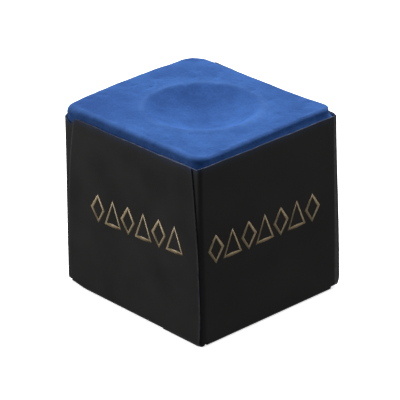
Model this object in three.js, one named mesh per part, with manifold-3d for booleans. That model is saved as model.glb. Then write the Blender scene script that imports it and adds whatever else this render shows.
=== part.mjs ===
// Cue chalk cube: a pressed chalk block in a folded paper label, held by a thin coat of adhesive.
// Millimetres, +Z up. The origin is the centre of the underside.
import * as THREE from 'three';
import { mergeVertices } from 'three/addons/utils/BufferGeometryUtils.js';
import Module from 'manifold-3d';

const wasm = await Module();
wasm.setup();

// Pressed block: with its label on it makes the nominal 7/8 inch (22 mm) cube.
const BLOCK_X = 21.58;
const BLOCK_Y = 20.74;
const BLOCK_HEIGHT = 21.29;
const BLOCK_CORNER_RADIUS = 1.9;
const TOP_EDGE_RADIUS = 0.85;
const BOTTOM_EDGE_RADIUS = 0.3;

// Cup for the cue tip: part of a sphere, with a rounded rim.
const CUP_RIM_RADIUS = 6.45;
const CUP_DEPTH = 1.85;
const CUP_RIM_ROUNDING = 0.9;

// Label: one sheet of coated paper, folded up from the base panel.
const PAPER = 0.15;
const FOLD_RADIUS = 0.4;
const LABEL_HEIGHT = 20.6;
const LABEL_CORNER_RADIUS = 1.5;
const WING_LENGTH = 4.5;
const WING_BOTTOM = 0.45;
const LAYER_GAP = 0.02;
const FLAP_SHORT_AT_BOTTOM = 0.5;
const FLAP_SHORT_AT_TOP = 1.05;

// Adhesive: a dried coat on the inside of the label.
const GLUE = 0.04;
const GLUE_CLEARANCE = 0.01;
const GLUE_END_GAP = 2.2;
const GLUE_TOP = 20.1;
const GLUE_PAD_BOTTOM = 0.8;
const GLUE_PAD_END_GAP = 0.3;

// Length that a cutting shape reaches past what it cuts.
const SPARE = 5;

const ARC_STEPS = 6;
const CUP_STEPS = 12;
const CUP_SIDES = 72;

const block = new THREE.Vector2(BLOCK_X / 2, BLOCK_Y / 2);
const glueInner = block.clone().addScalar(GLUE_CLEARANCE);
const glueOuter = glueInner.clone().addScalar(GLUE);
const panelInner = glueOuter.clone().addScalar(GLUE_CLEARANCE);
const panelOuter = panelInner.clone().addScalar(PAPER);
const flapInner = panelOuter.y + LAYER_GAP;
const flapOuter = flapInner + PAPER;
const cornerCentre = panelOuter.clone().subScalar(LABEL_CORNER_RADIUS);
const wingEnd = cornerCentre.x - WING_LENGTH;
const flapHalfBottom = panelOuter.x - FLAP_SHORT_AT_BOTTOM;
const flapHalfTop = panelOuter.x - FLAP_SHORT_AT_TOP;
const blockBottom = PAPER + GLUE + 2 * GLUE_CLEARANCE;
const blockTop = blockBottom + BLOCK_HEIGHT;

/** Turns a closed three.js geometry into a solid for joins and cuts. */
function solid(geometry) {
  const bare = geometry.clone();
  bare.deleteAttribute('normal');
  bare.deleteAttribute('uv');
  const merged = mergeVertices(bare, 1e-5);
  const vertProperties = new Float32Array(merged.attributes.position.array);
  const triVerts = new Uint32Array(merged.index.array);
  return new wasm.Manifold(new wasm.Mesh({ numProp: 3, vertProperties, triVerts }));
}

/** Turns a solid back into a geometry. */
function geometryOf(body) {
  const mesh = body.getMesh();
  const geometry = new THREE.BufferGeometry();
  geometry.setAttribute('position', new THREE.BufferAttribute(mesh.vertProperties, 3));
  geometry.setIndex(new THREE.BufferAttribute(mesh.triVerts, 1));
  geometry.computeVertexNormals();
  return geometry;
}

/** A rectangular outline with rounded corners, centred on the origin. */
function roundedRectangle(half, radius) {
  const centre = half.clone().subScalar(radius);
  const shape = new THREE.Shape();
  shape.moveTo(half.x, -centre.y);
  shape.absarc(centre.x, centre.y, radius, 0, Math.PI / 2);
  shape.absarc(-centre.x, centre.y, radius, Math.PI / 2, Math.PI);
  shape.absarc(-centre.x, -centre.y, radius, Math.PI, 1.5 * Math.PI);
  shape.absarc(centre.x, -centre.y, radius, 1.5 * Math.PI, 2 * Math.PI);
  return shape;
}

/** A block standing between two heights, with both end edges rounded by the same radius. */
function roundedBlock(bottom, top, edgeRadius) {
  const geometry = new THREE.ExtrudeGeometry(roundedRectangle(block, BLOCK_CORNER_RADIUS), {
    depth: top - bottom - 2 * edgeRadius,
    curveSegments: ARC_STEPS,
    bevelSegments: ARC_STEPS,
    bevelSize: edgeRadius,
    bevelThickness: edgeRadius,
    bevelOffset: -edgeRadius,
  });
  geometry.translate(0, 0, bottom + edgeRadius);
  return solid(geometry);
}

/** The round shape that presses the cup: a sphere cap that turns out over the rounded rim. */
function cupTool() {
  const sphereRadius = (CUP_RIM_RADIUS ** 2 + CUP_DEPTH ** 2) / (2 * CUP_DEPTH);
  const sphereCentre = blockTop - CUP_DEPTH + sphereRadius;
  const rimCentreHeight = blockTop - CUP_RIM_ROUNDING;
  const reach = sphereRadius + CUP_RIM_ROUNDING;
  const rimCentre = Math.sqrt(reach ** 2 - (sphereCentre - rimCentreHeight) ** 2);
  const tangent = Math.atan2(rimCentre, sphereCentre - rimCentreHeight);
  const profile = [];
  for (let i = 0; i <= CUP_STEPS; i += 1) {
    const angle = (tangent * i) / CUP_STEPS;
    const x = sphereRadius * Math.sin(angle);
    profile.push(new THREE.Vector2(x, sphereCentre - sphereRadius * Math.cos(angle)));
  }
  for (let i = 1; i <= ARC_STEPS; i += 1) {
    const angle = tangent * (1 - i / ARC_STEPS);
    const x = rimCentre - CUP_RIM_ROUNDING * Math.sin(angle);
    profile.push(new THREE.Vector2(x, rimCentreHeight + CUP_RIM_ROUNDING * Math.cos(angle)));
  }
  profile.push(new THREE.Vector2(rimCentre, blockTop + SPARE));
  profile.push(new THREE.Vector2(0, blockTop + SPARE));
  const geometry = new THREE.LatheGeometry(profile, CUP_SIDES);
  geometry.rotateX(Math.PI / 2);
  return solid(geometry);
}

/** The block of pressed chalk, with its softly rounded top edge and its cup. */
function chalkBlock() {
  const topShape = roundedBlock(blockBottom - SPARE, blockTop, TOP_EDGE_RADIUS);
  const bottomShape = roundedBlock(blockBottom, blockTop + SPARE, BOTTOM_EDGE_RADIUS);
  return topShape.intersect(bottomShape).subtract(cupTool());
}

/**
 * A strip folded into a U across X: a base and two upright panels.
 * It reaches from -length / 2 to length / 2 along Y.
 */
function foldedStrip({ half, bottom, top, thickness, radius, length }) {
  const inner = radius - thickness;
  const shape = new THREE.Shape();
  shape.moveTo(-half, top);
  shape.absarc(-half + radius, bottom + radius, radius, Math.PI, 1.5 * Math.PI);
  shape.absarc(half - radius, bottom + radius, radius, 1.5 * Math.PI, 2 * Math.PI);
  shape.lineTo(half, top);
  shape.lineTo(half - thickness, top);
  shape.absarc(half - radius, bottom + radius, inner, 2 * Math.PI, 1.5 * Math.PI, true);
  shape.absarc(-half + radius, bottom + radius, inner, 1.5 * Math.PI, Math.PI, true);
  shape.lineTo(-half + thickness, top);
  shape.closePath();
  const geometry = new THREE.ExtrudeGeometry(shape, {
    depth: length,
    curveSegments: ARC_STEPS,
    bevelEnabled: false,
  });
  geometry.rotateX(Math.PI / 2);
  geometry.translate(0, length / 2, 0);
  return geometry;
}

/** The two plain flaps at -Y and +Y with the base between them, narrowing towards their top edge. */
function labelFlaps() {
  const strip = foldedStrip({
    half: flapOuter,
    bottom: 0,
    top: LABEL_HEIGHT,
    thickness: PAPER,
    radius: FOLD_RADIUS,
    length: 2 * flapHalfBottom,
  });
  strip.rotateZ(Math.PI / 2);
  const taper = new THREE.Shape();
  taper.moveTo(-flapHalfBottom, 0);
  taper.lineTo(flapHalfBottom, 0);
  taper.lineTo(flapHalfTop, LABEL_HEIGHT);
  taper.lineTo(-flapHalfTop, LABEL_HEIGHT);
  taper.closePath();
  const depth = 2 * (flapOuter + SPARE);
  const prism = new THREE.ExtrudeGeometry(taper, { depth, bevelEnabled: false });
  prism.rotateX(Math.PI / 2);
  prism.translate(0, depth / 2, 0);
  return solid(strip).intersect(solid(prism));
}

/** The two side panels at -X and +X, with the base between them. */
function labelPanels() {
  return solid(foldedStrip({
    half: panelOuter.x,
    bottom: 0,
    top: LABEL_HEIGHT,
    thickness: PAPER,
    radius: FOLD_RADIUS,
    length: 2 * cornerCentre.y,
  }));
}

/** The glue wings of the +X panel: they turn round both corners and lie under the flaps. */
function labelWings() {
  const outer = LABEL_CORNER_RADIUS;
  const inner = outer - PAPER;
  const { x, y } = cornerCentre;
  const shape = new THREE.Shape();
  shape.moveTo(wingEnd, -panelOuter.y);
  shape.absarc(x, -y, outer, 1.5 * Math.PI, 2 * Math.PI);
  shape.absarc(x, y, outer, 0, Math.PI / 2);
  shape.lineTo(wingEnd, panelOuter.y);
  shape.lineTo(wingEnd, panelInner.y);
  shape.absarc(x, y, inner, Math.PI / 2, 0, true);
  shape.absarc(x, -y, inner, 2 * Math.PI, 1.5 * Math.PI, true);
  shape.lineTo(wingEnd, -panelInner.y);
  shape.closePath();
  const geometry = new THREE.ExtrudeGeometry(shape, {
    depth: LABEL_HEIGHT - WING_BOTTOM,
    curveSegments: ARC_STEPS,
    bevelEnabled: false,
  });
  geometry.translate(0, 0, WING_BOTTOM);
  return geometry;
}

/** The whole label, folded from one sheet. */
function label() {
  const wings = labelWings();
  const oppositeWings = wings.clone().rotateZ(Math.PI);
  return labelPanels().add(labelFlaps()).add(solid(wings)).add(solid(oppositeWings));
}

/** The adhesive: a cross-shaped coat on the base and sides, thicker under the flaps between the wings. */
function glueFilm() {
  const coat = {
    bottom: PAPER + GLUE_CLEARANCE,
    top: GLUE_TOP,
    thickness: GLUE,
    radius: FOLD_RADIUS - PAPER - GLUE_CLEARANCE,
  };
  const acrossX = foldedStrip({ ...coat, half: glueOuter.x, length: 2 * (block.y - GLUE_END_GAP) });
  const acrossY = foldedStrip({ ...coat, half: glueOuter.y, length: 2 * (block.x - GLUE_END_GAP) });
  acrossY.rotateZ(Math.PI / 2);
  let film = solid(acrossX).add(solid(acrossY));
  const padHeight = GLUE_TOP - GLUE_PAD_BOTTOM;
  const padOuter = flapInner - GLUE_CLEARANCE;
  for (const side of [-1, 1]) {
    const pad = new THREE.BoxGeometry(2 * (wingEnd - GLUE_PAD_END_GAP), padOuter - glueInner.y, padHeight);
    pad.translate(0, (side * (padOuter + glueInner.y)) / 2, GLUE_PAD_BOTTOM + padHeight / 2);
    film = film.add(solid(pad));
  }
  return film;
}

/** A named mesh with its own material. */
function part(name, body, color, roughness) {
  const material = new THREE.MeshStandardMaterial({ color, roughness, metalness: 0 });
  const mesh = new THREE.Mesh(geometryOf(body), material);
  mesh.name = name;
  return mesh;
}

const cube = new THREE.Group();
cube.add(part('chalk_block', chalkBlock(), 0x40629f, 0.95));
cube.add(part('label', label(), 0x1f1f21, 0.6));
cube.add(part('glue_film', glueFilm(), 0xd9d3c3, 0.5));

export default cube;
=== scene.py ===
"""Cue chalk cube: a pressed chalk block in a folded, printed paper label.

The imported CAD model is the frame.  The chalk block and the label are modelled again here at the same
sizes, with their wear, folds and cut edges, the gold print is laid on the label, and the coat of
adhesive keeps its CAD shape.  Lengths are in metres, +Z is up, and the underside's centre is the origin.
"""

import logging
from collections.abc import Callable
from dataclasses import dataclass
from enum import Enum
from functools import partial
from math import atan2, cos, exp, pi, radians, sin, sqrt

import bpy
import numpy as np
from bpy.types import Material, Mesh, Node, NodeSocket, NodeTree, Object
from mathutils import Matrix, Vector, noise


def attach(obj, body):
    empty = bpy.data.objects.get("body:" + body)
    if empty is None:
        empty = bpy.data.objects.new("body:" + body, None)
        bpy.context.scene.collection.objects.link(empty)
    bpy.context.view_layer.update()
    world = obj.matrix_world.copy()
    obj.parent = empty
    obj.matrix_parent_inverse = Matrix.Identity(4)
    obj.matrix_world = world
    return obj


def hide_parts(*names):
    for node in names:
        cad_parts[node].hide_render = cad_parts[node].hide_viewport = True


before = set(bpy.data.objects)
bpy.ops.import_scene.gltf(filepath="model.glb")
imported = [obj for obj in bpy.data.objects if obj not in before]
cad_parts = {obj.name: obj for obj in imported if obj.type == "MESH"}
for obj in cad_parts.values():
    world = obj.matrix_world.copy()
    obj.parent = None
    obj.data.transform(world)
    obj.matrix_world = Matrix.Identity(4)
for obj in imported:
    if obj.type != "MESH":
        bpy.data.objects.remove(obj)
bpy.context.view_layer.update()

Array = np.ndarray
Pair = tuple[float, float]
Triple = tuple[float, float, float]
Quad = tuple[float, float, float, float]
MM = 0.001
QUARTER = pi / 2
LOG = logging.getLogger("cue_chalk")


class Side(Enum):
    """A side of the cube, as the unit vector that points out of it."""

    FRONT = (0.0, -1.0)
    RIGHT = (1.0, 0.0)
    BACK = (0.0, 1.0)
    LEFT = (-1.0, 0.0)


class Corner(Enum):
    """An upright corner of the cube, as the signs of its X and Y."""

    FRONT_RIGHT = (1, -1)
    BACK_RIGHT = (1, 1)
    BACK_LEFT = (-1, 1)
    FRONT_LEFT = (-1, -1)


class Part(Enum):
    """A part of the label: what a row or a column of its grids belongs to."""

    FLAP, FOLD, BASE, WING, BEND, END, PANEL = range(7)


def linear(colour: str) -> Quad:
    """Turns an sRGB hex colour to linear light.

    Args:
        colour: The colour as "#rrggbb".

    Returns:
        Red, green, blue and alpha, from 0 to 1.
    """
    parts = [int(colour[i : i + 2], 16) / 255 for i in (1, 3, 5)]
    light = [c / 12.92 if c <= 0.04045 else ((c + 0.055) / 1.055) ** 2.4 for c in parts]
    return (*light, 1.0)


def add_node(tree: NodeTree, kind: str, inputs: dict | None = None, **settings) -> Node:
    """Adds one node with its settings and links.

    Args:
        tree: The node tree that gets the node.
        kind: The node's type, such as "ShaderNodeBump".
        inputs: What goes into each input, by its name or number: a value, a colour as "#rrggbb",
            another node's output, or a node, which stands for its first output.
        **settings: The node's own properties.  For a Color Ramp, stops gives its two places and colours.

    Returns:
        The new node.
    """
    made = tree.nodes.new(kind)
    for number, (place, colour) in enumerate(settings.pop("stops", {}).items()):
        made.color_ramp.elements[number].position = place
        made.color_ramp.elements[number].color = linear(colour) if isinstance(colour, str) else colour
    for name, value in settings.items():
        setattr(made, name, value)
    for key, value in (inputs or {}).items():
        if isinstance(value, Node):
            value = value.outputs[0]
        if isinstance(value, NodeSocket):
            tree.links.new(value, made.inputs[key])
        else:
            made.inputs[key].default_value = linear(value) if isinstance(value, str) else value
    return made


def new_material(name: str) -> tuple[Material, Callable, NodeSocket]:
    """Starts a material.

    Args:
        name: The material's name.

    Returns:
        The material, the function that adds its nodes, and the Object coordinates for its patterns.
    """
    material = bpy.data.materials.new(name)
    material.use_nodes = True
    material.node_tree.nodes.clear()
    add = partial(add_node, material.node_tree)
    return material, add, add("ShaderNodeTexCoord").outputs["Object"]


def shade(material: Material, inputs: dict) -> Material:
    """Ends a material with one Principled BSDF.

    Args:
        material: The material.
        inputs: What goes into the shader's inputs.

    Returns:
        The same material.
    """
    shader = add_node(material.node_tree, "ShaderNodeBsdfPrincipled", inputs)
    add_node(material.node_tree, "ShaderNodeOutputMaterial", {"Surface": shader})
    return material


def marked(
    add: Callable, colour: Node | NodeSocket, mark: str, attribute: str, patches: Node | float
) -> NodeSocket:
    """Lays a second colour over the first where the mesh says so.

    Args:
        add: Adds a node to the material.
        colour: The colour underneath.
        mark: The colour of the marks.
        attribute: The attribute that says how strong the marks are at each point.
        patches: A pattern that breaks the marks up, or 1.

    Returns:
        The colour with its marks.
    """
    amount = add("ShaderNodeAttribute", attribute_name=attribute).outputs["Fac"]
    patchy = add("ShaderNodeMath", {0: amount, 1: patches}, operation="MULTIPLY")
    return add("ShaderNodeMix", {"Factor": patchy, 6: colour, 7: mark}, data_type="RGBA").outputs[2]


def fallen(add: Callable, place: NodeSocket, span_mm: Pair, most: float = 1.0) -> Node:
    """Makes the share of dust that has fallen on a surface from above.

    Args:
        add: Adds a node to the material.
        place: The Object coordinates.
        span_mm: The heights at which the dust starts and is full.
        most: The share where it is full.

    Returns:
        The node that gives the share.
    """
    height = add("ShaderNodeSeparateXYZ", {"Vector": place}).outputs["Z"]
    low, high = (mm * MM for mm in span_mm)
    return add("ShaderNodeMapRange", {"Value": height, "From Min": low, "From Max": high, "To Max": most})


def smooth(low: float, high: float, value):
    """Rises smoothly from 0 at low to 1 at high.

    Args:
        low: Where the rise starts.
        high: Where it ends.
        value: A number or an array.

    Returns:
        The same kind of thing as value.
    """
    t = np.clip((value - low) / (high - low), 0.0, 1.0)
    return t * t * (3 - 2 * t)


def steps(start: float, stop: float, count: int) -> Array:
    """Evenly spaced numbers from just after start up to stop."""
    return np.linspace(start, stop, count + 1)[1:]


def ripple(points: Array, waves: tuple) -> Array:
    """Soft random variation.

    Args:
        points: N by 3 places, in millimetres.
        waves: For each wave its depth, its size in millimetres, and a seed that moves its pattern.

    Returns:
        One number for each point.
    """
    total = np.zeros(len(points))
    for depth, size, seed in waves:
        shift = Vector((seed, 2.3 * seed, -1.7 * seed))
        total += depth * np.array([noise.noise(Vector(p) / size + shift) for p in points])
    return total


def grid_faces(rows: int, columns: int, closed: bool = False, flip: bool = False) -> list:
    """The faces of a grid of points.

    Args:
        rows: How many rows of points.
        columns: How many points are in a row.
        closed: Whether each row is a ring.
        flip: Whether the faces turn the other way.

    Returns:
        Tuples of four point numbers.
    """
    found = []
    for row in range(0, (rows - 1) * columns, columns):
        for c in range(columns if closed else columns - 1):
            a, b = row + c, row + (c + 1) % columns
            cell = (a, a + columns, b + columns, b)
            found.append(cell[::-1] if flip else cell)
    return found


def new_mesh(name: str, points: Array, faces: list, materials: list) -> Object:
    """Makes a smooth-shaded mesh object.

    Args:
        name: The object's name.
        points: N by 3 places, in millimetres.
        faces: Tuples of point numbers.
        materials: The object's materials, in slot order.

    Returns:
        The object, linked to the scene.
    """
    mesh = bpy.data.meshes.new(name)
    mesh.from_pydata((points * MM).tolist(), [], faces)
    mesh.validate()
    mesh.shade_smooth()
    for material in materials:
        mesh.materials.append(material)
    made = bpy.data.objects.new(name, mesh)
    bpy.context.scene.collection.objects.link(made)
    return made


def store(target: Object, name: str, values: Array) -> None:
    """Stores one number for each point of a mesh, for its material to read."""
    attribute = target.data.attributes.new(name, "FLOAT", "POINT")
    attribute.data.foreach_set("value", np.asarray(values, np.float32))


def settle(target: Object) -> Mesh:
    """Turns what an object's modifiers make into its own plain mesh.

    Args:
        target: The object.

    Returns:
        Its new mesh.
    """
    depsgraph = bpy.context.evaluated_depsgraph_get()
    mesh = bpy.data.meshes.new_from_object(target.evaluated_get(depsgraph))
    target.modifiers.clear()
    target.data = mesh
    return mesh


# Finishes


@dataclass(frozen=True)
class Grain:
    """The fine relief of a surface: how wide and deep its bumps are, and how far they are stretched."""

    size_mm: float
    depth_mm: float
    strength: float = 0.5
    detail: float = 3.0
    roughness: float = 0.5
    run: Triple = (1.0, 1.0, 1.0)

    def nodes(self, add: Callable, place: NodeSocket) -> tuple[Node, Node]:
        """Builds the relief.

        Args:
            add: Adds a node to the material.
            place: The Object coordinates.

        Returns:
            The pattern's node and the bump's node.
        """
        run = add("ShaderNodeMapping", {"Vector": place, "Scale": self.run})
        size = {"Scale": 1 / (self.size_mm * MM), "Detail": self.detail, "Roughness": self.roughness}
        pattern = add("ShaderNodeTexNoise", {"Vector": run, **size})
        depth = {"Distance": self.depth_mm * MM, "Strength": self.strength}
        return pattern, add("ShaderNodeBump", {"Height": pattern, **depth})


@dataclass(frozen=True)
class PressedChalk:
    """Blue billiard chalk: silica and abrasive with a blue pigment and a binder, pressed in a mould.

    It looks dead matt and powdery, a little uneven in colour, and paler where dust lies on worn edges.
    """

    colour: str = "#3d6db5"
    deep: str = "#305ba0"
    # Painted shade: the colour of the darker patches on the top's front left and on the cup's near wall.
    rubbed_and_shade: str = "#264d92"
    dust: str = "#6189c6"
    grain_tones: Pair = (0.86, 1.12)
    grain: Grain = Grain(0.22, 0.05, strength=0.7, roughness=0.65)
    mottle_mm: float = 2.6
    crumb_mm: float = 0.55
    crumb_depth_mm: float = 0.06

    def material(self) -> Material:
        """Builds the material.  The grain is drawn at 0.2 mm, coarser than real powder, so that it shows."""
        material, add, place = new_material("pressed_billiard_chalk")
        size = 1 / (self.mottle_mm * MM)
        mottle = add("ShaderNodeTexNoise", {"Vector": place, "Scale": size, "Detail": 4.0})
        crumbs = add("ShaderNodeTexVoronoi", {"Vector": place, "Scale": 1 / (self.crumb_mm * MM)})
        grain, fine = self.grain.nodes(add, place)
        base = add("ShaderNodeValToRGB", {"Fac": mottle}, stops={0.32: self.deep, 0.68: self.colour})
        # Painted shade: darker patches from a mesh attribute, over the front left of the top and on the cup's
        # near wall.
        with_painted_shade = marked(add, base, self.rubbed_and_shade, "rubbed_and_shade", 1.0)
        dark, light = ([tone] * 3 + [1.0] for tone in self.grain_tones)
        speck = add("ShaderNodeValToRGB", {"Fac": grain}, stops={0.3: dark, 0.7: light})
        both = {"Factor": 1.0, 6: with_painted_shade, 7: speck}
        grained = add("ShaderNodeMix", both, data_type="RGBA", blend_type="MULTIPLY")
        depth = {"Distance": self.crumb_depth_mm * MM, "Strength": 0.35}
        return shade(material, {
            "Base Color": marked(add, grained.outputs[2], self.dust, "dust", mottle),
            "Roughness": 0.95, "IOR": 1.4, "Diffuse Roughness": 1.0, "Specular IOR Level": 0.3,
            "Normal": add("ShaderNodeBump", {"Height": crumbs, "Normal": fine, **depth}),
        })


@dataclass(frozen=True)
class BlackCoatedPaper:
    """Art paper printed solid black and given a thin water-based varnish.

    It looks near black with a soft, slightly uneven sheen, and shows grey where folds crack the ink.
    """

    ink: str = "#171716"
    # Rubbed ink: lighter in random clouds.
    rubbed_and_shade: str = "#1f1f1e"
    bare: str = "#6b6b6e"
    dust: str = "#3d5688"
    gloss: Pair = (0.44, 0.56)
    fibre: Grain = Grain(0.35, 0.012, roughness=0.6)
    cloud_mm: float = 5.0

    def material(self) -> Material:
        """Builds the material.  The fibre is drawn at 0.35 mm, coarser than real paper, so that it shows."""
        material, add, place = new_material("black_coated_paper")
        cloud = add("ShaderNodeTexNoise", {"Vector": place, "Scale": 1 / (self.cloud_mm * MM), "Detail": 5.0})
        fibre, bump = self.fibre.nodes(add, place)
        base = add("ShaderNodeValToRGB", {"Fac": cloud}, stops={0.35: self.ink, 0.8: self.rubbed_and_shade})
        cracked = marked(add, base, self.bare, "crease", fibre)
        dusty = marked(add, cracked, self.dust, "powder", fibre)
        low, high = self.gloss
        span = {"From Min": 0.3, "From Max": 0.7, "To Min": low, "To Max": high}
        gloss = add("ShaderNodeMapRange", {"Value": cloud, **span})
        return shade(material, {"Base Color": dusty, "Roughness": gloss, "IOR": 1.45, "Normal": bump})


@dataclass(frozen=True)
class PaperCore:
    """The cut edge of the label: bare paper fibre with chalk dust rubbed into it.

    It looks like a thin grey-blue line, duller where more dust or ink has reached it.
    """

    fibre: str = "#5c5d61"
    dusty: str = "#27334e"
    patches: Grain = Grain(0.9, 0.02, strength=0.6, detail=4.0)
    dust_mm: Pair = (17.5, 19.6)
    most_dust: float = 0.22

    def material(self) -> Material:
        """Builds the material, from fibre to dusty in patches."""
        material, add, place = new_material("cut_paper_edge")
        patches, bump = self.patches.nodes(add, place)
        dust = fallen(add, place, self.dust_mm, self.most_dust)
        clean = add("ShaderNodeMath", {0: patches, 1: dust}, operation="SUBTRACT")
        colour = add("ShaderNodeValToRGB", {"Fac": clean}, stops={0.3: self.dusty, 0.6: self.fibre})
        return shade(material, {"Base Color": colour, "Roughness": 0.9, "IOR": 1.45, "Normal": bump})


@dataclass(frozen=True)
class PaperBack:
    """The uncoated inside of the label: pale sulphate paper, felt-marked by the paper machine.

    It looks dull grey and fibrous: the grey is painted shade for the dark gap between the label and the
    chalk, where it shows.
    """

    fibre: str = "#6f7280"
    dull: str = "#474c60"
    fibres: Grain = Grain(0.4, 0.02, detail=5.0, run=(1.0, 1.0, 0.3))

    def material(self) -> Material:
        """Builds the material, with stretched noise for the run of the fibres."""
        material, add, place = new_material("uncoated_paper_back")
        fibres, bump = self.fibres.nodes(add, place)
        # Painted shade: both colour stops are darker than pale paper.
        colour = add("ShaderNodeValToRGB", {"Fac": fibres}, stops={0.3: self.dull, 0.7: self.fibre})
        return shade(material, {"Base Color": colour, "Roughness": 0.92, "IOR": 1.45, "Normal": bump})


@dataclass(frozen=True)
class GoldPrint:
    """Bronze-powder gold ink, screen-printed on the black.

    It looks like dull brass: warm, a little grainy, brighter where the flakes face the light.
    """

    colour: str = "#b9a580"
    thin: str = "#93805d"
    gloss: Pair = (0.4, 0.62)
    flakes: Grain = Grain(0.18, 0.006, roughness=0.7)

    def material(self) -> Material:
        """Builds the material.  The flakes are drawn at 0.2 mm, coarser than real ones, so that they show."""
        material, add, place = new_material("gold_bronze_ink")
        flakes, bump = self.flakes.nodes(add, place)
        colour = add("ShaderNodeValToRGB", {"Fac": flakes}, stops={0.3: self.thin, 0.62: self.colour})
        low, high = self.gloss
        span = {"From Min": 0.3, "From Max": 0.7, "To Min": low, "To Max": high}
        gloss = add("ShaderNodeMapRange", {"Value": flakes, **span})
        return shade(material, {"Base Color": colour, "Metallic": 0.1, "Roughness": gloss, "Normal": bump})


@dataclass(frozen=True)
class DriedGlue:
    """White wood glue, brushed on and dried between the chalk and the label.

    It looks cream and half glossy, with brush marks and thin places, and blue where dust fell on its top.
    """

    film: str = "#b9b29c"
    thin: str = "#858c9b"
    dusted: str = "#2f4f86"
    marks: Grain = Grain(0.9, 0.02, strength=0.4, detail=4.0, run=(1.0, 1.0, 0.2))
    dust_mm: Pair = (18.6, 19.8)

    def material(self) -> Material:
        """Builds the material, with brush marks that run upwards."""
        material, add, place = new_material("dried_white_glue")
        marks, bump = self.marks.nodes(add, place)
        colour = add("ShaderNodeValToRGB", {"Fac": marks}, stops={0.35: self.thin, 0.6: self.film})
        dust = fallen(add, place, self.dust_mm)
        blue = add("ShaderNodeMix", {"Factor": dust, 6: colour, 7: self.dusted}, data_type="RGBA")
        return shade(material, {
            "Base Color": blue.outputs[2], "Roughness": 0.35, "IOR": 1.46, "Subsurface Weight": 0.1,
            "Subsurface Radius": (0.6 * MM, 0.5 * MM, 0.4 * MM), "Normal": bump,
        })


@dataclass(frozen=True)
class StudioFloor:
    """A matt white sweep of paper, as laid under small goods in a studio."""

    paper: str = "#f4f4f4"
    tone: str = "#f0f0f0"
    patch_mm: float = 60.0
    glow: float = 0.8

    def material(self) -> Material:
        """Builds the material."""
        material, add, place = new_material("studio_paper")
        patches = add("ShaderNodeTexNoise", {"Vector": place, "Scale": 1 / (self.patch_mm * MM)})
        colour = add("ShaderNodeValToRGB", {"Fac": patches}, stops={0.3: self.tone, 0.7: self.paper})
        return shade(material, {
            "Base Color": colour, "Roughness": 1.0, "Specular IOR Level": 0.0,
            "Emission Color": self.paper, "Emission Strength": self.glow,
        })


# Sub-assemblies


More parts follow.
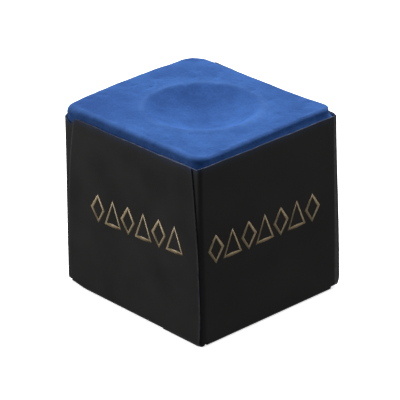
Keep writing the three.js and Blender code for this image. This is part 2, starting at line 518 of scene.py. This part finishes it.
@dataclass
class ChalkBlock:
    """The pressed block.  Under the label it has the CAD block's sizes; its open top is worn.

    Lengths are in millimetres.  A wave is a depth, a size and a seed, and a patch of painted shade is a
    place, a reach and a strength.
    """

    half: Pair = (10.79, 10.37)
    corners: Quad = (1.9, 1.9, 1.3, 1.9)
    bottom: float = 0.21
    top: float = 21.5
    bottom_edge: float = 0.3
    worn_half: Pair = (10.54, 9.76)
    worn_shift: Pair = (-0.25, -0.60)
    worn_corner: Quad = (1.2, 2.4, 1.2, 1.7)
    worn_turn: float = radians(1.35)
    worn_from: float = 19.6
    worn_to: float = 20.9
    top_edge: float = 0.36
    front_edge: float = 0.45
    edge_waves: tuple = ((0.16, 4.0, 3.1), (0.08, 1.1, 5.7))
    chip_place: Pair = (-10.4, -9.8)
    chip_reach: float = 1.8
    chip_depth: float = 0.6
    cup_centre: Pair = (0.45, -0.3)
    cup_radius: float = 6.2
    cup_depth: float = 1.85
    cup_rounding: float = 1.0
    land: float = 1.6
    top_waves: tuple = ((0.035, 3.6, 0.4), (0.016, 1.2, 1.9), (0.01, 0.45, 7.7))
    side_waves: tuple = ((0.05, 1.6, 4.4), (0.015, 0.5, 9.1))
    seed: int = 11
    pits: int = 70
    pit_span: float = 10.2
    pit_reach: Pair = (0.18, 0.5)
    pit_depth: Pair = (0.03, 0.1)
    rim_dust: float = 0.26
    rim_dust_width: float = 0.35
    edge_dust: float = 0.15
    crest_dust: float = 0.1
    side_dust: float = 0.12
    # Painted shade: darker patches at the front left of the top, where less light falls, and on the cup's
    # near wall.
    painted_shade_patches: tuple = (((-7.5, -8.5), 4.8, 0.65), ((4.5, -3.7), 2.3, 0.5))
    side_steps: int = 72
    corner_steps: int = 22
    cup_rings: int = 52
    land_rings: int = 27
    edge_rings: int = 14
    shoulder_rings: int = 13
    side_rings: int = 23
    foot_rings: int = 4
    under_rings: int = 9

    def outline(self, half: Pair, corners: Quad) -> Array:
        """Points round a rounded rectangle.

        Args:
            half: Half of its width and depth.
            corners: Its corner radii, anticlockwise from the back right corner.

        Returns:
            N by 2 places, anticlockwise from the start of the back right corner.
        """
        arcs = []
        for k, (signs, radius) in enumerate(zip([(1, 1), (-1, 1), (-1, -1), (1, -1)], corners)):
            pivot = (np.array(half) - radius) * signs
            turns = (k + np.linspace(0, 1, self.corner_steps + 1)) * QUARTER
            arcs.append(pivot + radius * np.stack([np.cos(turns), np.sin(turns)], 1))
        share = np.linspace(0, 1, self.side_steps, endpoint=False)[:, None]
        found = []
        for arc, following in zip(arcs, arcs[1:] + arcs[:1]):
            found += [arc[:-1], arc[-1] + (following[0] - arc[-1]) * share]
        return np.concatenate(found)

    def cup_height(self, distance: Array) -> Array:
        """How far the top surface lies below the top plane: a ball's hollow with a rounded rim.

        Args:
            distance: Distances from the cup's axis.

        Returns:
            Heights, from -cup_depth to 0.
        """
        ball = (self.cup_radius**2 + self.cup_depth**2) / (2 * self.cup_depth)
        centre = ball - self.cup_depth
        low = centre + self.cup_rounding
        rim = sqrt((ball + self.cup_rounding) ** 2 - low**2)
        meets = ball * sin(atan2(rim, low))
        hollow = centre - np.sqrt(np.maximum(ball**2 - distance**2, 0))
        fillet = np.sqrt(np.maximum(self.cup_rounding**2 - (rim - distance) ** 2, 0)) - self.cup_rounding
        return np.where(distance < meets, hollow, np.where(distance < rim, fillet, 0.0))

    def worn_outline(self) -> Array:
        """The outline of the open top: smaller, off centre, slightly turned, and rubbed in at two sides."""
        flat = self.outline(self.worn_half, self.worn_corner)
        left = smooth(7.0, 9.5, -flat[:, 0])
        near = smooth(2.0, 6.0, -flat[:, 1]) * smooth(-9.0, -7.0, flat[:, 1])
        flat[:, 0] += left * (0.26 * smooth(1.5, 8.0, flat[:, 1]) + 0.14 * near)
        back = smooth(6.5, 9.5, flat[:, 1])
        flat[:, 1] += 0.22 * back * smooth(6.5, 9.5, flat[:, 0])
        flat[:, 0] += 0.20 * back * smooth(7.0, 10.0, flat[:, 0])
        across, aside = cos(self.worn_turn), sin(self.worn_turn)
        return flat @ np.array([[across, aside], [-aside, across]]) + self.worn_shift

    def rings(self) -> tuple[Array, Array]:
        """All rings of points, from the cup's centre over the edge and down to the underside.

        Returns:
            The rings as R by N by 3 places, and the dust on each point as R by N numbers.
        """
        full = self.outline(self.half, self.corners)
        worn = self.worn_outline()
        cup = np.array(self.cup_centre)
        normal = worn - np.roll(worn, 1, 0)
        normal = np.stack([normal[:, 1], -normal[:, 0]], 1)
        normal /= np.linalg.norm(normal, axis=1)[:, None]
        normal = (normal + np.roll(normal, -1, 0)) / 2
        edge = self.top_edge + (self.front_edge - self.top_edge) * np.clip(-normal[:, 1], 0, 1) ** 2
        gap = np.linalg.norm(worn - self.chip_place, axis=1) / self.chip_reach
        edge = edge + self.chip_depth * np.exp(-(gap**2))
        edge = edge * (1 + ripple(np.column_stack([worn, np.zeros(len(worn))]), self.edge_waves))
        inner = worn - normal * edge[:, None]
        away = inner - cup
        heading = away / np.linalg.norm(away, axis=1)[:, None]
        found, dust = [], []

        def ring(flat: Array, height: float | Array, powder: float | Array) -> None:
            """Adds a ring of points, its height or heights, and the dust on it."""
            found.append(np.column_stack([flat, np.broadcast_to(height, len(flat))]))
            dust.append(np.broadcast_to(powder, len(flat)))

        land = self.cup_radius + self.land
        for radius in np.linspace(0.12, land, self.cup_rings):
            past = (radius - self.cup_radius - self.rim_dust_width) / self.rim_dust_width
            ring(cup + heading * radius, self.top, exp(-(past**2)) * self.rim_dust)
        last = cup + heading * land
        for share in steps(0, 1, self.land_rings):
            ring(last + (inner - last) * share, self.top, self.edge_dust * smooth(0.9, 1.0, share))
        for angle in steps(0, QUARTER, self.edge_rings):
            flat = inner + normal * (edge * sin(angle))[:, None]
            powder = self.edge_dust + self.crest_dust * sin(2 * angle)
            ring(flat, self.top - edge * (1 - cos(angle)), powder)
        shoulder = self.top - edge
        for share in steps(0, 1, self.shoulder_rings):
            height = shoulder + (self.worn_from - shoulder) * share
            blend = smooth(self.worn_from, self.worn_to, height)[:, None]
            ring(full + (worn - full) * blend, height, self.side_dust * smooth(20.4, 21.2, height))
        for height in steps(self.worn_from, self.bottom + self.bottom_edge, self.side_rings):
            ring(full, height, 0.0)
        small = self.outline((self.half[0] - self.bottom_edge, self.half[1] - self.bottom_edge), self.corners)
        for angle in steps(0, QUARTER, self.foot_rings):
            height = self.bottom + self.bottom_edge * (1 - sin(angle))
            ring(small + (full - small) * cos(angle), height, 0.0)
        for share in steps(1, 0.01, self.under_rings):
            ring(small * share, self.bottom, 0.0)
        return np.array(found), np.array(dust)

    def roughened(self, points: Array) -> Array:
        """Moves points of the open top for the pressed surface's unevenness, its pits and its chipped edge.

        Args:
            points: N by 3 places, with the cup already in them.

        Returns:
            The moved places.
        """
        flat = points[:, :2]
        free = smooth(20.2, 20.9, points[:, 2])
        moved = points.copy()
        moved[:, 2] += free * ripple(points, self.top_waves)
        rim = free * smooth(8.5, 9.8, np.abs(flat).max(1))
        sway = rim * ripple(points, self.side_waves)
        reach = np.linalg.norm(flat, axis=1)
        moved[:, :2] += flat / np.maximum(reach, 1.0)[:, None] * sway[:, None]
        generator = np.random.default_rng(self.seed)
        for _ in range(self.pits):
            spot = generator.uniform(-self.pit_span, self.pit_span, 2)
            size = generator.uniform(*self.pit_reach)
            depth = generator.uniform(*self.pit_depth)
            gap = np.linalg.norm(flat - spot, axis=1) / size
            moved[:, 2] -= free * depth * np.exp(-(gap**2))
        return moved

    def build(self, finish: PressedChalk) -> Object:
        """Makes the block.

        Args:
            finish: The chalk's finish.

        Returns:
            The block as one closed mesh.
        """
        rings, dust = self.rings()
        count, around = rings.shape[:2]
        top = rings[: self.cup_rings + self.land_rings]
        top[:, :, 2] += self.cup_height(np.linalg.norm(top[:, :, :2] - self.cup_centre, axis=2))
        poles = [[*self.cup_centre, self.top - self.cup_depth], [0, 0, self.bottom]]
        points = self.roughened(np.concatenate([rings.reshape(-1, 3), poles]))
        faces = grid_faces(count, around, closed=True)
        centre, under, last = count * around, count * around + 1, (count - 1) * around
        for j in range(around):
            nxt = (j + 1) % around
            faces += [(centre, j, nxt), (under, last + nxt, last + j)]
        block = new_mesh("pressed_chalk", points, faces, [finish.material()])
        store(block, "dust", np.concatenate([dust.reshape(-1), [0, 0]]))
        # Painted shade: darker patches on the open top, at its front left and on the cup's near wall.
        rubbed_and_shade = np.zeros(len(points))
        for spot, reach, amount in self.painted_shade_patches:
            rubbed_and_shade += amount * np.exp(-((np.linalg.norm(points[:, :2] - spot, axis=1) / reach) ** 2))
        inside = smooth(10.3, 9.7, np.abs(points[:, :2]).max(1)) * (points[:, 2] > 19.5)
        store(block, "rubbed_and_shade", rubbed_and_shade * inside)
        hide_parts("chalk_block")
        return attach(block, "root")


@dataclass
class FoldedLabel:
    """The label: one die-cut sheet.  A base, two plain flaps, and two panels with glue wings.

    The wings turn round the upright corners and lie under the flaps.  Lengths are in millimetres.
    A point of the sheet is its X, Y and Z, how far its ink is cracked, and how much dust is on it.
    """

    panel: float = 11.0
    wing: float = 10.58
    flap: float = 10.75
    flap_corner: float = 0.35
    fold: float = 0.4
    front_fold: float = 0.65
    height: float = 20.55
    paper: float = 0.12
    wing_end: float = 5.0
    wing_foot: float = 0.45
    wing_drop: float = 0.03
    base_half: float = 10.5
    base_cut: float = 0.8
    corner_reach: float = 0.2
    left_lift: float = 0.26
    heel_span: Pair = (-9.55, 8.8)
    levels: int = 58
    fold_steps: int = 8
    heel_lines: int = 55

    def top(self, side: Side, along: float) -> float:
        """How high one side's top edge was cut.

        Args:
            side: Which side.
            along: X on the front and back, and Y on the left and right.

        Returns:
            The height of the edge: each side slightly askew, with small waves.
        """
        start, slope = {
            Side.FRONT: (20.52, 0.0128),
            Side.RIGHT: (20.80, -0.002),
            Side.BACK: (20.25, -0.015),
            Side.LEFT: (20.50, 0.003),
        }[side]
        order = list(Side).index(side)
        wave = 0.018 * sin(0.9 * along + 1.3 * order + 0.4) + 0.012 * sin(2.3 * along - order)
        return start + slope * along + wave

    def corner_radius(self, corner: Corner, share: Array) -> Array:
        """How round a corner is.

        Args:
            corner: Which corner.
            share: Heights as shares of the label's.

        Returns:
            The radius at each height.
        """
        low, high = {
            Corner.FRONT_RIGHT: (0.8, 0.45),
            Corner.BACK_RIGHT: (0.85, 1.5),
            Corner.BACK_LEFT: (0.85, 1.8),
            Corner.FRONT_LEFT: (0.9, 1.25),
        }[corner]
        return low + (high - low) * smooth(0.02, 1.0, share)

    def nicked(self, crown: float, x: float, y: float) -> float:
        """Lowers the top edge at the front left corner, where it was cut low and then nicked.

        Args:
            crown: The edge's height without the cut.
            x: How far the place is from the middle plane.
            y: Its Y.

        Returns:
            The height with the cut.
        """
        low = crown - 0.55 * float(smooth(-8.2, -9.9, y)) * float(smooth(8.0, 9.4, x))
        return low - 0.32 * exp(-(((x - 9.25) / 0.3) ** 2)) * (y < -10.0)

    def notch(self, corner: Corner) -> float:
        """How far above the panel's foot a wing's foot was cut away, or below it where this is negative."""
        return {Corner.FRONT_RIGHT: -0.33, Corner.BACK_RIGHT: 0.65, Corner.FRONT_LEFT: 0.2}.get(corner, 0.1)

    def powder(self, share: float) -> float:
        """How much chalk dust lies on the paper: only in the last twentieth of its height."""
        return 0.4 * max(0.0, (share - 0.95) / 0.05) ** 2

    def bulge(self, along: Array, share: Array, side: Side) -> Array:
        """How far a side stands off the plane it was folded to.

        Args:
            along: Place along the side, from -1 to 1.
            share: Heights as shares of the label's.
            side: Which side.

        Returns:
            Distances outwards.
        """
        order = list(Side).index(side)
        bow = 0.05 * (1 - along**2) * np.sin(np.pi * np.clip(share, 0, 1)) ** 0.5
        wave = 0.02 * np.sin(3.1 * along + 4.0 * share + 1.7 * order) * np.sin(2.2 * share + order)
        return np.maximum(bow + wave * (1 - along**4) * smooth(0.0, 0.1, share), 0.0)

    def flap_half(self, side: Side, right: bool, share: Array) -> Array:
        """Half the width of a flap on one hand of it.

        Args:
            side: The flap's side.
            right: Whether it is the half towards +X.
            share: Heights as shares of the label's.

        Returns:
            The distance from the middle plane to the cut edge, which is tapered towards the top.
        """
        foot, widest, taper, power = {
            (Side.FRONT, True): (self.base_half + self.corner_reach, 10.89, 1.05, 1.95),
            (Side.FRONT, False): (9.7, 9.95, 1.33, 3.0),
        }.get((side, right), (9.7, 10.1, 0.6, 1.5))
        return foot + (widest - foot) * np.clip(share / 0.1, 0, 1) - taper * np.clip(share, 0, 1) ** power

    def strip_point(self, part: Part, side: Side, t: float, value: float) -> tuple[float, ...]:
        """A point of a flap, of its fold, or of the base, whose corners are cut away but for one.

        Args:
            part: Which of the three.
            side: The side that the flap is on.
            t: The place across it, from -1 to 1.
            value: The height as a share of the flap's, the angle round the fold, or the base's Y.

        Returns:
            The point.
        """
        if part is Part.BASE:
            low, high = self.heel_span
            edge = self.base_half
            if t > 0 and value < 0:
                edge += self.corner_reach * float(smooth(low, -9.9, value))
            else:
                past = max(low - value, value - high, 0.0)
                edge -= self.base_cut * min(1.0, past / (self.flap - self.front_fold + low))
            return t * edge, value, 0.0, 0.0, 0.0
        front, outwards = side is Side.FRONT, side.value[1]
        fold = self.front_fold if front else self.fold
        width = float(self.flap_half(side, t > 0, value if part is Part.FLAP else 0.0))
        x = t * width
        if part is Part.FOLD:
            y = outwards * (self.flap - fold * (1 - cos(value)))
            return x, y, fold * (1 - sin(value)), 0.5 * sin(2 * value), 0.0
        nick = max(0.0, abs(x) - (width - self.flap_corner))
        round_off = self.flap_corner - sqrt(max(self.flap_corner**2 - nick**2, 0.0))
        z = fold + (self.top(side, x) - fold - round_off * value**8) * value
        out = float(self.bulge(t, value, side))
        if front:
            out -= 0.05 * value * float(smooth(7.5, 9.8, x))
        frayed = 0.25 + 0.75 * (front and t < 0) * float(smooth(0.3, 0.9, value))
        crease = frayed * exp(-(((1 - abs(t)) / 0.012) ** 2))
        return x, outwards * (self.flap + out), z, crease, self.powder(value)

    def strip(self) -> tuple[Array, list]:
        """The front flap, the base and the back flap, as a grid.

        Returns:
            The points, as N by 5 numbers, and the faces.
        """
        by_edge = 1 - np.array([0.004, 0.012, 0.022])
        across = np.unique(np.concatenate([np.linspace(-1, 1, 61), by_edge, -by_edge]))
        low, high = self.heel_span
        base = np.concatenate([
            np.linspace(self.front_fold - self.flap, low, 4)[1:],
            np.linspace(low, high, self.heel_lines)[1:-1],
            np.linspace(high, self.flap - self.fold, 9)[:-1],
        ])
        shares = np.linspace(1, 0, self.levels)
        angles = steps(0, QUARTER, self.fold_steps)
        rows = []
        for part, side, values in (
            (Part.FLAP, Side.FRONT, shares), (Part.FOLD, Side.FRONT, angles), (Part.BASE, Side.FRONT, base),
            (Part.FOLD, Side.BACK, angles[::-1]), (Part.FLAP, Side.BACK, shares[::-1]),
        ):
            rows += [(part, side, value) for value in values]
        points = np.array([self.strip_point(part, side, t, v) for part, side, v in rows for t in across])
        lifted = smooth(3.0, 0.5, points[:, 2]) * smooth(8.6, 10.2, -points[:, 1])
        points[:, 2] += self.left_lift * lifted * smooth(7.4, 10.0, -points[:, 0])
        return points, grid_faces(len(rows), len(across))

    def wrap(self, sign: int) -> tuple[Array, list]:
        """A side panel with its two wings, from the top down to the wings' feet.

        Args:
            sign: 1 for the +X panel and -1 for the -X panel.

        Returns:
            The points, as N by 5 numbers, and the faces.
        """
        side = Side.RIGHT if sign > 0 else Side.LEFT
        corners = {hand: Corner((sign, hand)) for hand in (-1, 1)}
        wings = np.linspace(0, 1, 15)
        bends = steps(0, QUARTER, 14)
        columns, points = [], []
        for part, hand, values in (
            (Part.WING, -1, wings), (Part.BEND, -1, bends), (Part.END, -1, (0.35, 0.7)),
            (Part.PANEL, 0, np.linspace(0, 1, self.heel_lines)), (Part.END, 1, (0.8, 0.55, 0.25)),
            (Part.BEND, 1, bends[::-1]), (Part.WING, 1, wings[::-1]),
        ):
            columns += [(part, hand, value) for value in values]
        for share in np.linspace(1, 0, self.levels):
            radii = {hand: float(self.corner_radius(at, share)) for hand, at in corners.items()}
            low = max(self.heel_span[0], radii[-1] - self.wing + 0.1)
            high = min(self.heel_span[1], self.wing - radii[1] - 0.1)
            for part, hand, value in columns:
                corner, radius = corners.get(hand), radii.get(hand, 0.0)
                x, y, foot = self.panel, hand * self.wing, self.wing_foot
                turned, worn = 0.0, 0.0
                if part is Part.WING:
                    x = self.wing_end + (self.panel - radius - self.wing_end) * value
                    foot += self.notch(corner)
                    turned = 1.0
                elif part is Part.BEND:
                    turned = 1 - value / QUARTER
                    crisp = 0.55 * share if corner is Corner.BACK_RIGHT else 0.0
                    across = sin(value) * (1 - crisp) + value / QUARTER * crisp
                    along = cos(value) * (1 - crisp) + turned * crisp
                    x = self.panel - radius + radius * across
                    y = hand * (self.wing - radius + radius * along)
                    foot += self.notch(corner) * float(smooth(0.0, 0.8, QUARTER - value))
                    worn = 0.12 * sin(2 * value) ** 2
                    if corner is Corner.BACK_RIGHT:
                        worn = 0.85 * exp(-(((QUARTER - value) / 0.2) ** 2))
                else:
                    start, stop = low, high
                    if part is Part.END:
                        start, stop = hand * (self.wing - radius), high if hand > 0 else low
                        worn = 0.85 * (corner is Corner.BACK_RIGHT and value < 0.3)
                    y = start + (stop - start) * value
                    x += float(self.bulge(y / (self.wing - 0.8), share, side))
                crown = self.top(side, y)
                beside = self.top(Side.FRONT if hand < 0 else Side.BACK, sign * x) - self.wing_drop
                crown += (beside - crown) * turned
                if corner is Corner.FRONT_LEFT:
                    crown = self.nicked(crown, x, y)
                if corner is Corner.FRONT_RIGHT and part is Part.BEND:
                    crown += 0.08
                points.append((sign * x, y, foot + (crown - foot) * share, worn, self.powder(share)))
        return np.array(points), grid_faces(self.levels, len(columns), flip=sign < 0)

    def heel(self, sign: int) -> tuple[Array, list]:
        """The foot of a side panel: its fold, down to the base.

        Args:
            sign: 1 for the +X panel and -1 for the -X panel.

        Returns:
            The points, as N by 5 numbers, and the faces.
        """
        lines = np.linspace(*self.heel_span, self.heel_lines)
        rows = [(self.panel, self.wing_foot, 0.0)]
        for angle in np.linspace(0, QUARTER, self.fold_steps + 1):
            x = self.panel - self.fold * (1 - cos(angle))
            rows.append((x, self.fold * (1 - sin(angle)), 0.5 * sin(2 * angle)))
        rows.append((self.base_half, 0.0, 0.0))
        points = [(sign * x, y, z, worn, 0.0) for x, z, worn in rows for y in lines]
        return np.array(points), grid_faces(len(rows), len(lines), flip=sign < 0)

    def build(self, outside: BlackCoatedPaper, edge: PaperCore, inside: PaperBack) -> Object:
        """Folds the label.

        Args:
            outside: The printed face's finish.
            edge: The cut edge's finish.
            inside: The back's finish.

        Returns:
            The label as one closed mesh.
        """
        points, faces = np.zeros((0, 5)), []
        for places, cells in (self.strip(), self.wrap(1), self.wrap(-1), self.heel(1), self.heel(-1)):
            faces += [tuple(len(points) + i for i in cell) for cell in cells]
            points = np.concatenate([points, places])
        finishes = [outside.material(), edge.material(), inside.material()]
        sheet = new_mesh("folded_label", points[:, :3], faces, finishes)
        store(sheet, "crease", points[:, 3])
        store(sheet, "powder", points[:, 4])
        weld = sheet.modifiers.new("weld", "WELD")
        weld.merge_threshold = 0.001 * MM
        wall = sheet.modifiers.new("thickness", "SOLIDIFY")
        wall.thickness = self.paper * MM
        wall.offset = -1.0
        wall.material_offset = 2
        wall.material_offset_rim = 1
        wall.use_even_offset = True
        settle(sheet).set_sharp_from_angle(angle=radians(50))
        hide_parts("label")
        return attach(sheet, "root")


class Ornament(Enum):
    """A figure of the printed row: its half width, its reach above and its reach below, in millimetres."""

    DIAMOND = (0.95, 1.5, 1.5)
    RACK = (1.2, 1.45, 1.35)


@dataclass
class PrintedRow:
    """A row of outlined diamonds and racks, printed in gold along one side of the label.

    Lengths are in millimetres.
    """

    name: str
    side: Side
    count: int
    first: float
    pitch: float
    height: float
    tilt: float = 0.0
    stroke: float = 0.4
    ink: float = 0.02

    def tree(self) -> NodeTree:
        """Builds the Geometry Nodes tree that repeats the two figures along a line.

        Returns:
            The tree, with its sizes as named inputs.
        """
        tree = bpy.data.node_groups.new(f"{self.name}_nodes", "GeometryNodeTree")
        kinds = {"Count": "Int", "Pitch": "Float", "Stroke": "Float", "Ink": "Float", "Finish": "Material"}
        for label, kind in kinds.items():
            tree.interface.new_socket(label, in_out="INPUT", socket_type=f"NodeSocket{kind}")
        tree.interface.new_socket("Geometry", in_out="OUTPUT", socket_type="NodeSocketGeometry")
        add = partial(add_node, tree)
        sizes = add("NodeGroupInput").outputs
        step = add("ShaderNodeCombineXYZ", {"X": sizes["Pitch"]})
        line = add("GeometryNodeMeshLine", {"Count": sizes["Count"], "Offset": step})
        outline = "GeometryNodeCurvePrimitiveQuadrilateral"
        pen = add(outline, {"Width": sizes["Stroke"], "Height": sizes["Ink"]})
        parity = add("ShaderNodeMath", {0: add("GeometryNodeInputIndex"), 1: 2.0}, operation="MODULO")
        joined = add("GeometryNodeJoinGeometry")
        for turn, figure in enumerate(Ornament):
            half, above, below = (v * MM for v in figure.value)
            mode, shape = "KITE", {"Width": 2 * half, "Bottom Height": below, "Top Height": above}
            if figure is Ornament.RACK:
                corners = ((-half, -below, 0), (0, -below, 0), (half, -below, 0), (0, above, 0))
                mode, shape = "POINTS", {f"Point {k}": corner for k, corner in enumerate(corners, 1)}
            path = add(outline, shape, mode=mode)
            drawn = add("GeometryNodeCurveToMesh", {"Curve": path, "Profile Curve": pen})
            chosen = add(
                "FunctionNodeCompare", {"A": parity.outputs[0], "B": float(turn), "Epsilon": 0.1},
                data_type="FLOAT", operation="EQUAL",
            )
            spread = {"Points": line, "Selection": chosen, "Instance": drawn}
            tree.links.new(add("GeometryNodeInstanceOnPoints", spread).outputs[0], joined.inputs[0])
        real = add("GeometryNodeRealizeInstances", {0: joined})
        inked = add("GeometryNodeSetMaterial", {"Geometry": real, "Material": sizes["Finish"]})
        add("NodeGroupOutput", {0: inked})
        return tree

    def lay(self, mesh: Mesh, label: FoldedLabel) -> None:
        """Lays the flat row on its side of the label, following the paper's bulge.

        Args:
            mesh: The row, drawn in its own XY plane.
            label: The label that it is printed on.
        """
        co = np.zeros(len(mesh.vertices) * 3)
        mesh.vertices.foreach_get("co", co)
        flat = co.reshape(-1, 3) / MM
        along = self.first + flat[:, 0]
        height = self.height + flat[:, 1] + self.tilt * flat[:, 0]
        out = np.array(self.side.value)
        spot = np.array([-out[1], out[0]]) * along[:, None]
        share = (height - label.fold) / (label.height - label.fold)
        if self.side in (Side.RIGHT, Side.LEFT):
            plane, place, half = label.panel, spot[:, 1], label.wing - 0.8
        else:
            left, right = (label.flap_half(self.side, hand, share) for hand in (False, True))
            plane, place, half = label.flap, spot[:, 0], np.where(spot[:, 0] > 0, right, left)
        stand = plane + label.bulge(place / half, share, self.side) + flat[:, 2]
        places = np.column_stack([spot + out * stand[:, None], height])
        mesh.vertices.foreach_set("co", (places * MM).ravel())
        mesh.update()

    def build(self, finish: Material, label: FoldedLabel) -> Object:
        """Prints the row.

        Args:
            finish: The gold ink.
            label: The label that it is printed on.

        Returns:
            The row as one mesh.
        """
        carrier = new_mesh(self.name, np.zeros((1, 3)), [], [])
        modifier = carrier.modifiers.new("row", "NODES")
        modifier.node_group = self.tree()
        values = {
            "Count": self.count, "Pitch": self.pitch * MM, "Stroke": self.stroke * MM,
            "Ink": self.ink * MM, "Finish": finish,
        }
        for item in modifier.node_group.interface.items_tree:
            if item.in_out == "INPUT":
                modifier[item.identifier] = values[item.name]
        self.lay(settle(carrier), label)
        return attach(carrier, "root")


@dataclass
class GlueFilm:
    """The dried adhesive between the chalk and the label.  Its CAD shape stays."""

    node: str = "glue_film"

    def dress(self, finish: DriedGlue) -> Object:
        """Gives the CAD node its finish.

        Args:
            finish: The adhesive's finish.

        Returns:
            The CAD node's object.
        """
        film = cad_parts[self.node]
        film.data.materials[0] = finish.material()
        return film


@dataclass
class Studio:
    """The floor, the soft lights and the camera.  Lengths are in metres where no unit is given."""

    azimuth: float = radians(47.25)
    elevation: float = radians(25.64)
    roll: float = radians(-0.6)
    distance: float = 0.3129
    lens: float = 259.6
    sensor: float = 36.0
    target: Triple = (0.00005, -0.00046, 0.01028)
    lit_point: Triple = (0.0, 0.0, 0.01)
    room_light: float = 0.12
    floor_reach_mm: float = 1600.0
    floor_level_mm: float = -0.01

    def camera(self) -> None:
        """Places the camera, which looks down at the front right corner."""
        a, e, r = self.azimuth, self.elevation, self.roll
        right = Vector((cos(a), sin(a), 0))
        back = Vector((sin(a) * cos(e), -cos(a) * cos(e), sin(e)))
        up = back.cross(right)
        x_axis = right * cos(r) + up * sin(r)
        y_axis = up * cos(r) - right * sin(r)
        place = Vector(self.target) + back * self.distance
        data = bpy.data.cameras.new("camera")
        data.lens = self.lens
        data.sensor_width = self.sensor
        data.clip_start = 0.01
        camera = bpy.data.objects.new("camera", data)
        turn = Matrix((x_axis, y_axis, back)).transposed().to_4x4()
        camera.matrix_world = Matrix.Translation(place) @ turn
        bpy.context.scene.collection.objects.link(camera)
        bpy.context.scene.camera = camera

    def softbox(self, name: str, place: tuple, size: tuple, power: float) -> None:
        """Hangs a rectangular soft light that faces the object.

        Args:
            name: The light's name.
            place: Its centre.
            size: Its width and height.
            power: Its power in watts.
        """
        data = bpy.data.lights.new(name, "AREA")
        data.shape = "RECTANGLE"
        data.size, data.size_y = size
        data.energy = power
        light = bpy.data.objects.new(name, data)
        light.location = place
        light.rotation_euler = (Vector(self.lit_point) - Vector(place)).to_track_quat("-Z", "Y").to_euler()
        bpy.context.scene.collection.objects.link(light)

    def floor(self, finish: StudioFloor) -> None:
        """Lays the floor.  It shows to the camera but throws no light back at the object.

        Args:
            finish: The floor's finish.
        """
        signs = np.array([(-1, -1), (1, -1), (1, 1), (-1, 1)])
        corners = np.column_stack([signs * self.floor_reach_mm, np.full(4, self.floor_level_mm)])
        made = new_mesh("floor", corners, [(0, 1, 2, 3)], [finish.material()])
        made.visible_diffuse = False
        made.visible_glossy = False

    def build(self) -> None:
        """Sets the camera, the lights, the floor and the room's tone."""
        self.camera()
        self.floor(StudioFloor())
        self.softbox("overhead", place=(-0.25, 0.40, 1.25), size=(1.2, 1.2), power=33.0)
        self.softbox("left_fill", place=(-1.0, -0.75, 0.45), size=(0.7, 0.9), power=13.5)
        self.softbox("right_fill", place=(0.95, 0.75, 0.22), size=(0.6, 0.8), power=3.2)
        world = bpy.data.worlds.new("room")
        world.use_nodes = True
        background = world.node_tree.nodes["Background"].inputs
        background["Color"].default_value = linear("#ffffff")
        background["Strength"].default_value = self.room_light
        bpy.context.scene.world = world
        bpy.context.scene.view_settings.view_transform = "Standard"


def report(piece: Object) -> None:
    """Logs a finished piece."""
    LOG.info("%s: %d faces", piece.name, len(piece.data.polygons))


def main() -> None:
    """Builds the studio, then the object piece by piece."""
    logging.basicConfig(level=logging.INFO, format="%(message)s")
    Studio().build()
    LOG.info("studio: camera, three softboxes and a floor")
    report(ChalkBlock().build(PressedChalk()))
    label = FoldedLabel()
    report(label.build(BlackCoatedPaper(), PaperCore(), PaperBack()))
    gold = GoldPrint().material()
    for row in (
        PrintedRow("front_print", Side.FRONT, count=6, first=-4.9, pitch=2.42, height=11.0, tilt=0.045),
        PrintedRow("right_print", Side.RIGHT, count=7, first=-8.4, pitch=2.36, height=11.05),
        PrintedRow("back_print", Side.BACK, count=6, first=-6.0, pitch=2.42, height=11.2),
        PrintedRow("left_print", Side.LEFT, count=7, first=-7.1, pitch=2.36, height=11.05),
    ):
        report(row.build(gold, label))
    report(GlueFilm().dress(DriedGlue()))


if __name__ == "__main__":
    main()
